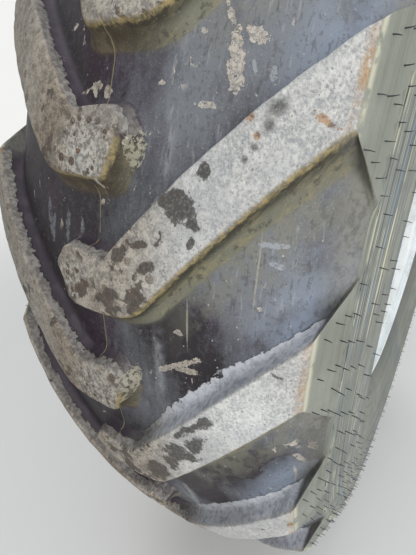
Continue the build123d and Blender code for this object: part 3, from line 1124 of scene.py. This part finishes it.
    # past the tread's edge the grooves run out into the olive sides
    ends, _ = side_colour(graph, at, colours, 0.5)
    scuffed = (large * 0.5 + fine * 0.5).between(0.42, 0.58)
    worn = graph.mix((0.105, 0.102, 0.09), (0.205, 0.2, 0.175), scuffed)
    colour = graph.layers(
        colour,
        (worn, wide.between(0.16, 0.178) * (1.0 - mud) * 0.7),
        (ends, wide.between(0.182, 0.1885) * (1.0 - cream * 0.8)),
        (AIR_SIDE_BLACK, lift.between(-0.3, -0.7)),
    )

    roughness = 0.56 + mud * 0.34 + cream * 0.3 + (middling - 0.5) * 0.35
    relief = fine * 0.3 + mud * (ragged + 0.35) + (cream + crust) * 0.45 + flash * 0.8
    normal = graph.bump(relief, 0.0012, 0.8)
    normal = graph.bump(grit * (0.3 + mud) + fibre * wall * leads, 0.0005, 0.8, normal)
    duller = {"Specular IOR Level": 0.28}
    return graph.surface(colour, roughness.held(), Normal=normal, **duller)


def lug_surface(graph, at, colours):
    """The lugs' tops: mottled dust, dark patches and brown specks."""
    place, out, wide, flat = named(at, "place out wide flat")
    large, middling, fine, grit, ragged = named(at, "large middling fine grit ragged")
    nose = wide.between(0.095, 0.04)
    inboard_soil_and_shade = out.between(0.0, -0.035)
    brown = nose.most(inboard_soil_and_shade * 0.75)
    crumbs = graph.noise(place, 0.0022, 5.0, 0.72)
    lighter = graph.ovals(flat, PALE_PLACES).held()

    # dust, paler and browner by turns, with painted shade darkening the inboard tops
    mottle = (crumbs * 0.55 + fine * 0.25 + middling * 0.2).between(0.375, 0.585)
    lumps = (ragged * 0.6 + crumbs * 0.4).between(0.43, 0.56)
    pale = graph.layers(
        colours.grey,
        (colours.dust, mottle),
        ((0.43, 0.44, 0.455), large.between(0.44, 0.6) * 0.35),
        (
            graph.mix((0.12, 0.1, 0.078), (0.42, 0.39, 0.325), lumps),
            brown * (0.6 + (large - 0.5) * 1.0).held(),
        ),
    )
    # the inboard tops are browner with soil and darker as painted shade
    pale = graph.tint(pale, (0.66, 0.6, 0.53), inboard_soil_and_shade * (0.55 + large * 0.6).held())
    pale = graph.tint(pale, (0.88, 0.81, 0.74), nose * (1.0 - lighter) * 0.8)
    pale = graph.tint(pale, (1.4, 1.42, 1.42), lighter)

    # pits, spots of soil and rusty specks
    pits = graph.dots(place, 0.0034, -0.12, 0.34) * fine.between(0.44, 0.56)
    spots = graph.dots(place, 0.0095, -0.05, 0.44) * brown.between(0.1, 0.7)
    spots = spots * (ragged * 0.5 + crumbs * 0.5).between(0.45, 0.52)
    pitted = graph.ovals(flat, PITTED_PLACES).between(0.0, 0.35)
    grain = crumbs * 0.6 + fine * 0.4
    hollows = graph.dots(place, 0.008, 0.06, 0.46) * grain.between(0.36, 0.44)
    specks = graph.dots(place, 0.0062, -0.34, 0.32) * nose.most(pitted)
    pale = graph.layers(
        pale,
        ((0.15, 0.145, 0.145), pits * 0.6),
        (colours.soil, spots * 0.8),
        ((0.62, 0.61, 0.56), pitted * grain.between(0.48, 0.42) * 0.55),
        ((0.095, 0.088, 0.08), pitted * grain.between(0.48, 0.56) * 0.8),
        ((0.07, 0.042, 0.028), hollows * pitted * 0.9),
        ((0.23, 0.11, 0.05), specks * grain.between(0.42, 0.5) * 0.75),
    )

    # dark patches, some of them at given places
    blotch = graph.noise(place, 0.02, 5.0, 0.62, warp=0.35)
    stray = blotch + brown * (0.135 - inboard_soil_and_shade * 0.05) - lighter * 0.12 + (crumbs - 0.5) * 0.12
    stray = stray.between(0.66, 0.7) * (1.0 - pitted)
    shaken = (blotch - 0.5) * 2.6 + (ragged - 0.5) * 1.8 + (crumbs - 0.5) * 0.8
    shaped = (graph.ovals(flat, DARK_PATCHES).most(-0.6) + shaken).between(0.02, 0.3)
    faint = (graph.ovals(flat, FAINT_PATCHES) + shaken * 0.5).between(0.0, 0.75)
    patch = stray.most(shaped)
    dark = graph.mix((0.036, 0.034, 0.032), (0.135, 0.127, 0.115), crumbs.between(0.48, 0.66))
    dark = graph.mix(dark, (0.085, 0.058, 0.04), nose * fine.between(0.4, 0.56) * 0.8)
    torn = (crumbs - 0.5) * 3.4 + (ragged - 0.5) * 2.2
    marks = (graph.ovals(flat, RUST_MARKS).most(-0.6) + torn).between(0.05, 0.35)
    rust = graph.mix((0.13, 0.062, 0.03), (0.4, 0.23, 0.105), fine.between(0.44, 0.56))
    rusty = graph.noise(place, 0.04, 2.0, 0.5).between(0.44, 0.56)
    shoulder = wide.between(TREAD_HALF - 0.0065, TREAD_HALF - 0.0015) * ragged.between(0.38, 0.5)
    colour = graph.layers(
        pale,
        (dark, (patch * 0.9).most(faint * 0.75)),
        ((0.66, 0.65, 0.62), grit.between(0.6, 0.72) * 0.35 * (1.0 - patch)),
        (rust, marks * 0.8),
        ((0.37, 0.205, 0.065), shoulder * (0.5 + rusty * 0.5) * 0.7),
    )
    colour = with_clay(graph, at, colours, colour)
    roughness = 0.88 + (middling - 0.5) * 0.2
    relief = mottle * 0.35 + crumbs * 0.7 - patch * 0.3 - spots * 0.35 - pits * 0.3
    normal = graph.bump(relief, 0.0012, 0.8)
    normal = graph.bump(grit, 0.0005, 0.8, normal)
    return graph.surface(colour, roughness.held(), Normal=normal)


def end_surface(graph, at, colours):
    """The lugs' ends, olive, with a cream line along the shoulder."""
    colour, _ = side_colour(graph, at, colours, 0.0)
    line = at["wide"].band(TREAD_HALF + 0.0012, 0.0016) * at["middling"].between(0.38, 0.52)
    colour = graph.mix(colour, (0.52, 0.5, 0.38), line * 0.75)
    roughness = 0.52 + (at["middling"] - 0.5) * 0.3
    return graph.surface(colour, roughness, Normal=graph.bump(at["grit"], 0.0004, 0.6))


def tread_material(colours):
    """Worn rubber: pale dust on the lugs, mud on their walls, dark grooves, olive ends."""
    graph = new_material("tread_rubber")
    at = tread_grain(graph)
    past_edge = at["wide"].between(TREAD_HALF - 0.0006, TREAD_HALF + 0.0008)
    low, high, end = (
        surface(graph, at, colours) for surface in (groove_surface, lug_surface, end_surface)
    )
    high = graph.blend(past_edge, high, end)
    return graph.finish(graph.blend(at["lift"].between(0.8, 0.94), low, high))


def sidewall_material(colours):
    """Smooth olive rubber with fine rings and scuffs."""
    graph = new_material("sidewall_rubber")
    at = wheel_coordinates(graph)
    radius, wide = at["radius"], at["wide"]
    colour, streak = side_colour(graph, at, colours, 1.0)
    grain = graph.noise(at["place"], 0.0022, 3.0, 0.6)
    veil = graph.noise(at["place"], 0.09, 2.0, 0.5).between(0.46, 0.62)
    toe = radius.between(0.31, 0.33) * wide.between(0.15, 0.135)
    colour = graph.layers(
        colour,
        ((0.14, 0.158, 0.172), veil * radius.between(0.5, 0.42) * 0.55),
        ((0.09, 0.092, 0.088), radius.between(0.365, 0.335) * 0.6),
        (AIR_SIDE_BLACK, wide.between(0.1205, 0.1195).most(toe) * 0.8),
    )
    normal = graph.bump(grain, 0.0003, 0.5, graph.bump(streak, 0.001, 0.3))
    roughness = 0.52 + streak * 0.16 + veil * 0.08
    return graph.finish(graph.surface(colour, roughness, Normal=normal))


def hair_material():
    """Black rubber of the vent hairs, a little dusty."""
    graph = new_material("vent_rubber")
    dust = graph.noise(graph.place(), 0.012).between(0.5, 0.7)
    colour = graph.mix((0.008, 0.009, 0.018), (0.04, 0.041, 0.046), dust)
    return graph.finish(graph.surface(colour, 0.42 + dust * 0.25))


def paint_material(colours):
    """White enamel with road film in its hollows and a few chips."""
    graph = new_material("rim_enamel")
    at = wheel_coordinates(graph)
    place, radius, out = named(at, "place radius out")
    veil = graph.noise(place, 0.06, 4.0, 0.6)
    fine = graph.noise(place, 0.006, 4.0, 0.6)
    rings = graph.joined(at["ahead"] * 0.6, at["up"] * 0.6, radius * 24.0 + out * 18.0)
    streak = graph.noise(rings, 0.12, 5.0, 0.62)
    hollow = radius.between(0.262, 0.245) * out.between(0.112, 0.095)
    lip = at["wide"].band(0.1615, 0.0022) * radius.between(0.322, 0.3235)
    chips = graph.noise(place, 0.011, 5.0, 0.7).between(0.715, 0.725)
    colour = graph.layers(
        colours.paint,
        ((0.52, 0.54, 0.54), veil.between(0.45, 0.68) * 0.5),
        ((0.44, 0.47, 0.5), streak.between(0.52, 0.66) * 0.55),
        ((0.38, 0.345, 0.28), fine.between(0.47, 0.64) * veil.between(0.46, 0.62) * 0.3),
        ((0.4, 0.375, 0.32), hollow * (veil * 0.5 + fine * 0.5).between(0.42, 0.62) * 0.45),
        ((0.4, 0.6, 0.7), lip * 0.6),
        ((0.22, 0.12, 0.07), chips * 0.8),
    )
    normal = graph.bump(chips * -1.0, 0.0004, 0.6, graph.bump(fine, 0.0004, 0.25))
    roughness = 0.36 + veil * 0.22 + hollow * 0.2
    return graph.finish(graph.surface(colour, roughness, Normal=normal))


def weld_material(colours):
    """Painted weld, with dirt and a little rust between its ripples."""
    graph = new_material("painted_weld")
    place = graph.place()
    veil = graph.noise(place, 0.03, 4.0, 0.6)
    fine = graph.noise(place, 0.003, 3.0, 0.6)
    colour = graph.layers(
        colours.paint,
        ((0.5, 0.48, 0.44), veil.between(0.42, 0.62) * 0.6),
        ((0.26, 0.13, 0.06), fine.between(0.56, 0.66) * veil.between(0.48, 0.6) * 0.7),
    )
    normal = graph.bump(fine, 0.0004, 0.5)
    return graph.finish(graph.surface(colour, 0.45 + veil * 0.2, Normal=normal))


def brass_material(colours):
    """Dull brass of the valve."""
    graph = new_material("dull_brass")
    place = graph.place()
    tarnish = graph.noise(place, 0.006, 4.0, 0.6)
    colour = graph.mix(colours.brass, (0.26, 0.2, 0.12), tarnish.between(0.42, 0.66))
    normal = graph.bump(graph.noise(place, 0.0016, 2.0), 0.0003, 0.5)
    roughness = 0.32 + tarnish * 0.3
    return graph.finish(graph.surface(colour, roughness, Metallic=0.9, Normal=normal))


def cap_material():
    """Matt black moulding of the valve's cap."""
    graph = new_material("valve_cap_moulding")
    place = graph.place()
    dust = graph.noise(place, 0.007).between(0.45, 0.7)
    colour = graph.mix((0.018, 0.018, 0.019), (0.13, 0.125, 0.11), dust * 0.5)
    normal = graph.bump(graph.noise(place, 0.0011), 0.0003, 0.5)
    return graph.finish(graph.surface(colour, 0.5 + dust * 0.3, Normal=normal))


class WHEEL_OT_tread(bpy.types.Operator):
    """Build the tread, with its lugs, its grooves and the air side under them"""

    bl_idname = "wheel.tread"
    bl_label = "Tread"

    def execute(self, context):
        sizes = context.scene.tyre_sizes
        places, faces, values = tread_mesh(Tread(sizes))
        lining = [RIDGE, *AIR_CROWN]
        lining += [(-out, radius) for out, radius in reversed(lining[:-1])]
        ring = lathe(lining, sidewall_angles(sizes), closed=False)
        for name, rest in (("lift", -1.0), ("edge", -0.05), ("lead", 0.0)):
            values[name] = np.concatenate([values[name], np.full(len(ring[0]), rest)])
        shape = joined([(places, faces), ring])
        rubber = tread_material(context.scene.wheel_colours)
        new_piece("tyre_tread", shape, rubber, "tyre", RUBBER_SHARP, values)
        return {"FINISHED"}


def sidewall_angles(sizes):
    """Angles of the sidewall's columns, which meet the tread's points along the ridge."""
    first = sizes.first_lug + radians(GROOVE_LINE[-1][1])
    return even_angles(sizes.lug_count * sizes.columns, first)


class WHEEL_OT_sidewalls(bpy.types.Operator):
    """Build both sidewalls, with their ribs and beads"""

    bl_idname = "wheel.sidewalls"
    bl_label = "Sidewalls"

    def execute(self, context):
        rubber = sidewall_material(context.scene.wheel_colours)
        angles = sidewall_angles(context.scene.tyre_sizes)
        for side, name in SIDES:
            shape = lathe([(side * out, radius) for out, radius in sidewall_profile()], angles)
            new_piece(f"{name}_sidewall", shape, rubber, "tyre", RUBBER_SHARP)
        return {"FINISHED"}


class WHEEL_OT_vent_hairs(bpy.types.Operator):
    """Build the short rubber hairs that the mould's vents leave on both sides"""

    bl_idname = "wheel.vent_hairs"
    bl_label = "Vent hairs"

    def execute(self, context):
        sizes = context.scene.tyre_sizes
        rubber = hair_material()
        for side, name in SIDES:
            chance = Random(side + 3)
            shape = joined(hairs(sizes, side, chance))
            new_piece(f"{name}_vent_hairs", shape, rubber, "tyre", HAIR_SHARP)
        return {"FINISHED"}


def hair_roots(sizes, side, chance):
    """Distances from the centre plane, radii and angles of the hairs' roots on one side."""
    pitch = 2 * pi / sizes.lug_count
    start = sizes.first_lug + (0.0 if side > 0 else pitch / 2)
    roots = []
    for radius, first, spacing in END_HAIRS:
        share = (RIDGE[1] + END_DROP - radius) / END_DROP
        last = LUG_CORNERS[0][1] + share * FLARE - 0.4
        out = RIDGE[0] - (radius - RIDGE[1]) * END_FLARE / END_DROP
        for lug in range(sizes.lug_count):
            angle = first + chance.uniform(0.0, 0.8)
            while angle < last:
                roots.append((out, radius, start + lug * pitch + radians(angle)))
                angle += spacing * chance.uniform(*HAIR_SPACINGS)
    outs, radii = zip(*[row for row in reversed(SIDEWALL) if row[1] > FLANGE_TOP])
    for radius, number, first in SIDE_HAIRS:
        out = float(np.interp(radius, radii, outs))
        for index in range(sizes.lug_count * number):
            angle = start + radians(first + chance.uniform(*HAIR_STRAY)) + index * pitch / number
            height = radius + chance.uniform(*HAIR_STRAY_UP)
            if chance.random() < HAIRS_LEFT:
                roots.append((out, height, angle))
    return roots


def hairs(sizes, side, chance):
    """Places and faces of each hair on one side, a bent and tapered bar."""
    along, width = np.array(HAIR_ALONG), np.array(HAIR_WIDTH) * sizes.hair_radius
    for out, radius, angle in hair_roots(sizes, side, chance):
        length = sizes.hair_length * chance.uniform(*HAIR_LENGTHS)
        lean_round, lean_up = chance.uniform(*HAIR_LEAN_ROUND), chance.uniform(*HAIR_LEAN_UP)
        bend = length * along * np.abs(along)
        columns = [
            wheel_places(
                side * (out + length * along),
                radius + lean_up * bend + width * sin(turn),
                angle + (lean_round * bend + width * cos(turn)) / radius,
            )
            for turn in even_angles(4, pi / 4)
        ]
        yield skin(columns, closed=False, capped=True)


def rolled_section(line, thickness, step, corner):
    """The outline of a sheet bent along a rounded line, with its ends' corners cut."""
    middle, normal = rounded_line(line, step)
    half, cut = thickness / 2, corner * 0.3
    along = np.array([middle[0] - middle[1], middle[-1] - middle[-2]])
    along /= np.linalg.norm(along, axis=1)[:, None]
    edge = [(half, corner), (half - cut, cut), (half - corner, 0.0)]
    edge += [(-reach, back) for reach, back in reversed(edge)]
    ends = ((middle[-1], along[1], normal[-1]), (middle[0], along[0], -normal[0]))
    caps = [
        [point + side * reach - way * back for reach, back in edge] for point, way, side in ends
    ]
    upper = middle[1:-1] + normal[1:-1] * half
    lower = (middle[1:-1] - normal[1:-1] * half)[::-1]
    return np.concatenate([upper, caps[0], lower, caps[1]])


class WHEEL_OT_rim(bpy.types.Operator):
    """Build the drop centre rim, rolled from one sheet"""

    bl_idname = "wheel.rim"
    bl_label = "Rim"

    def execute(self, context):
        sizes = context.scene.rim_sizes
        line = [*RIM_LINE, *[(-out, radius, rounding) for out, radius, rounding in RIM_LINE[::-1]]]
        section = rolled_section(line, sizes.sheet, sizes.step, sizes.sheet * LIP_CUT)
        paint = paint_material(context.scene.wheel_colours)
        shape = lathe(section, even_angles(sizes.columns))
        new_piece("drop_centre_rim", shape, paint, "rim")
        return {"FINISHED"}


class WHEEL_OT_disc(bpy.types.Operator):
    """Build the pressed disc, drilled for its studs"""

    bl_idname = "wheel.disc"
    bl_label = "Disc"

    def execute(self, context):
        sizes = context.scene.rim_sizes
        section = rolled_section(DISC_LINE, sizes.plate, sizes.step, DISC_CUT)
        shape = lathe(section, even_angles(sizes.columns))
        paint = bpy.data.materials["rim_enamel"]
        disc = new_piece("pressed_disc", shape, paint, "wheel_disc")
        drill = linked("stud_drill", new_mesh("stud_drill", *joined(stud_holes(sizes))))
        cut = disc.modifiers.new("stud_holes", "BOOLEAN")
        cut.operation, cut.solver, cut.object = "DIFFERENCE", "EXACT", drill
        context.view_layer.update()
        shaped = bpy.data.meshes.new_from_object(
            disc.evaluated_get(context.evaluated_depsgraph_get())
        )
        disc.modifiers.clear()
        disc.data = shaped
        shaped.name = "pressed_disc"
        shaped.shade_smooth()
        shaped.set_sharp_from_angle(angle=radians(HOLE_SHARP))
        bpy.data.objects.remove(drill)
        if len(shaped.polygons) <= len(shape[1]):
            raise RuntimeError("the stud holes were not cut")
        return {"FINISHED"}


def stud_holes(sizes):
    """Places and faces of the bodies that cut the stud holes, wider at both faces."""
    hole, chamfer, plate = sizes.stud_hole, sizes.stud_chamfer, sizes.plate
    wide = hole + chamfer + HOLE_PAST
    y = np.array([HOLE_PAST, -chamfer, chamfer - plate, -plate - HOLE_PAST])
    reach = np.array([wide, hole, hole, wide])
    for centre in even_angles(sizes.stud_count):
        x, z = sin(centre) * sizes.stud_circle / 2, cos(centre) * sizes.stud_circle / 2
        columns = [
            np.stack([x + cos(turn) * reach, y, z + sin(turn) * reach], axis=1)
            for turn in even_angles(HOLE_SIDES)
        ]
        yield skin(columns, closed=False, capped=True)


class WHEEL_OT_welds(bpy.types.Operator):
    """Build the two rippled welds between the disc and the rim"""

    bl_idname = "wheel.welds"
    bl_label = "Welds"

    def execute(self, context):
        material = weld_material(context.scene.wheel_colours)
        for name, section in WELDS.items():
            shape = weld_shape(np.array(section), context.scene.rim_sizes)
            new_piece(f"{name}_weld", shape, material)
        return {"FINISHED"}


def weld_shape(section, sizes):
    """Places and faces of a weld whose outer face swells and sinks in even ripples."""
    middle = section.mean(axis=0)
    spokes = section - middle
    reach = np.linalg.norm(spokes, axis=1)[:, None]
    columns = []
    for column, angle in enumerate(even_angles(sizes.ripples * RIPPLE_COLUMNS)):
        lump = noise.noise((WELD_LUMPS * cos(angle), WELD_LUMPS * sin(angle), 3.1))
        ripple = sizes.ripple_height * cos(2 * pi * column / RIPPLE_COLUMNS)
        shape = middle + spokes * (1.0 + WELD_SWELL * lump + ripple / reach)
        columns.append(wheel_places(shape[:, 0], shape[:, 1], angle))
    return skin(columns)


class WHEEL_OT_valve(bpy.types.Operator):
    """Bevel and finish the valve's stem, nut and cap"""

    bl_idname = "wheel.valve"
    bl_label = "Valve"

    def execute(self, context):
        width = context.scene.rim_sizes.valve_bevel
        brass = brass_material(context.scene.wheel_colours)
        finishes = {"valve_stem": brass, "valve_nut": brass, "valve_cap": cap_material()}
        for name, material in finishes.items():
            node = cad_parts[name]
            for holder in node.material_slots:
                holder.material = material
            bevel = node.modifiers.new("worn_edges", "BEVEL")
            bevel.width, bevel.segments, bevel.angle_limit = width, 2, radians(40.0)
        return {"FINISHED"}


class WHEEL_OT_stage(bpy.types.Operator):
    """Build the floor, the lamps and the camera"""

    bl_idname = "wheel.stage"
    bl_label = "Stage"

    def execute(self, context):
        looks = context.scene.stage_looks
        build_floor(looks)
        build_lamps()
        build_world(looks)
        build_camera(looks)
        context.scene.view_settings.view_transform = "Standard"
        return {"FINISHED"}


def seen_or_mirrored(graph):
    """1 for what the camera sees directly, mirrored or through glass, and 0 for light."""
    rays = ("Is Camera Ray", "Is Glossy Ray", "Is Transmission Ray")
    camera, glossy, passed = graph.node("LightPath").outputs(*rays)
    return (camera + glossy + passed).least(1.0)


def build_floor(looks):
    """A pale floor under the wheel, which fades into the backdrop far off."""
    graph = new_material("pale_floor")
    place = graph.place()
    darker = tuple(part * 0.97 for part in looks.floor_colour)
    near = graph.surface(graph.mix(looks.floor_colour, darker, graph.noise(place, 0.5, 2.0)), 0.85)
    far = graph.node("Emission", {"Color": graph.colour(looks.backdrop)})
    x, y, _ = graph.parts(place)
    fade = (x * x + y * y).power(0.5).between(*BACKDROP_FADE) * seen_or_mirrored(graph)
    mesh = bpy.data.meshes.new("floor")
    ways = ((-1, -1), (1, -1), (1, 1), (-1, 1))
    corners = [(x * FLOOR_REACH, y * FLOOR_REACH, -TYRE_RADIUS) for x, y in ways]
    mesh.from_pydata(corners, [], [(0, 1, 2, 3)])
    mesh.materials.append(graph.finish(graph.blend(fade, near, far)))
    floor = linked("floor", mesh)


def build_lamps():
    """Soft light from the front, from above and a little from behind."""
    for name, place, aim, size, power, colour in LAMPS:
        light = bpy.data.lights.new(name, "AREA")
        light.shape = "DISK"
        light.size, light.energy, light.color = size, power, colour
        lamp = linked(name, light)
        lamp.location = place
        lamp.rotation_mode = "QUATERNION"
        lamp.rotation_quaternion = (Vector(aim) - Vector(place)).to_track_quat("-Z", "Y")


def build_world(looks):
    """An even pale surrounding, which mirrors and the camera see as the backdrop."""
    world = bpy.data.worlds.new("pale_world")
    bpy.context.scene.world = world
    graph = Graph(world, "OutputWorld")
    light = {"Color": (0.93, 0.965, 1.0, 1.0), "Strength": looks.world_light}
    light = graph.node("Background", light)
    seen = graph.node("Background", {"Color": graph.colour(looks.backdrop)})
    graph.finish(graph.blend(seen_or_mirrored(graph), light, seen))


def build_camera(looks):
    """The camera, at the solved place and turn."""
    data = bpy.data.cameras.new("camera")
    data.lens, data.sensor_width, data.sensor_fit = looks.lens, SENSOR_WIDTH, "AUTO"
    data.clip_start, data.clip_end = 0.01, 50.0
    camera = linked("camera", data)
    right = Vector(looks.camera_right).normalized()
    back = right.cross(Vector(looks.camera_up)).normalized()
    turn = Matrix((right, back.cross(right), back)).transposed().to_4x4()
    camera.matrix_world = Matrix.Translation(looks.camera_place) @ turn
    bpy.context.scene.camera = camera


OPERATORS = (
    WHEEL_OT_tread,
    WHEEL_OT_sidewalls,
    WHEEL_OT_vent_hairs,
    WHEEL_OT_rim,
    WHEEL_OT_disc,
    WHEEL_OT_welds,
    WHEEL_OT_valve,
    WHEEL_OT_stage,
)
GROUPS = {
    "tyre_sizes": TyreSizes,
    "rim_sizes": RimSizes,
    "wheel_colours": WheelColours,
    "stage_looks": StageLooks,
}


class WHEEL_PT_wheel(bpy.types.Panel):
    """The wheel's sizes and colours, and the steps that build it"""

    bl_idname = "WHEEL_PT_wheel"
    bl_label = "Telehandler wheel"
    bl_space_type = "VIEW_3D"
    bl_region_type = "UI"
    bl_category = "Wheel"

    def draw(self, context):
        for operator in OPERATORS:
            self.layout.operator(operator.bl_idname)
        for holder in GROUPS:
            group = getattr(context.scene, holder)
            box = self.layout.box()
            box.label(text=group.bl_rna.name)
            for name in group.__annotations__:
                box.prop(group, name)


def register():
    for each in (*GROUPS.values(), *OPERATORS, WHEEL_PT_wheel):
        bpy.utils.register_class(each)
    for holder, group in GROUPS.items():
        setattr(bpy.types.Scene, holder, bpy.props.PointerProperty(type=group))


def unregister():
    for holder in GROUPS:
        delattr(bpy.types.Scene, holder)
    for each in (WHEEL_PT_wheel, *OPERATORS, *GROUPS.values()):
        bpy.utils.unregister_class(each)


def main():
    register()
    bpy.ops.wheel.tread()
    bpy.ops.wheel.sidewalls()
    bpy.ops.wheel.vent_hairs()
    bpy.ops.wheel.rim()
    bpy.ops.wheel.disc()
    bpy.ops.wheel.welds()
    bpy.ops.wheel.valve()
    bpy.ops.wheel.stage()


if __name__ == "__main__":
    main()
